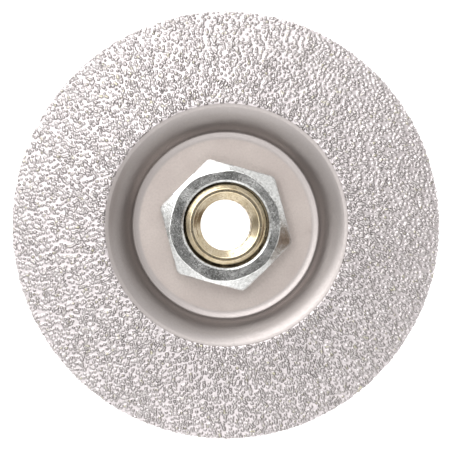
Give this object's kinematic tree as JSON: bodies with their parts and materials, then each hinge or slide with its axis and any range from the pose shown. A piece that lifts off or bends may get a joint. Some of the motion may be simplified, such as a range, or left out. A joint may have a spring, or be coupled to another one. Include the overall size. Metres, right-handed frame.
{
  "type": "diamond grinding wheel",
  "caption": "Dished steel grinding disc with a brazed diamond face, held on a threaded spindle sleeve by a recessed hex lock nut.",
  "frame": {"origin": "on the wheel's axis, at the back face of the sleeve's flange, which is also the centre of the bottom of the bounding box", "axes": "+Z along the wheel's axis, out of the abrasive face; +X square to the sleeve's two wrench flats"},
  "size_m": [0.115, 0.115, 0.0176],
  "materials": {
    "satin_steel": "satin, as it leaves the brazing furnace",
    "brazed_diamond": "rough nickel braze over diamond grit",
    "zinc_plate": "bright zinc plate, scuffed on the faces",
    "yellow_zinc": "yellow passivated zinc plate, glossy"
  },
  "bodies": {
    "wheel": {"disc_core": "satin_steel", "diamond_layer": "brazed_diamond"},
    "sleeve": {"threaded_sleeve": "yellow_zinc"},
    "nut": {"lock_nut": "zinc_plate"}
  },
  "joints": [
    {"name": "sleeve_turn", "type": "hinge", "parent": "wheel", "child": "sleeve", "pos_m": [0, 0, 0], "axis": [0, 0, -1], "range_deg": [0, 1320]},
    {"name": "nut_travel", "type": "slide", "parent": "wheel", "child": "nut", "axis": [0, 0, 1], "range_m": [0, 0.0055]}
  ],
  "couplings": [
    {"joint": "nut_travel", "follows": "sleeve_turn", "m_per_rad": 0.00023873}
  ]
}
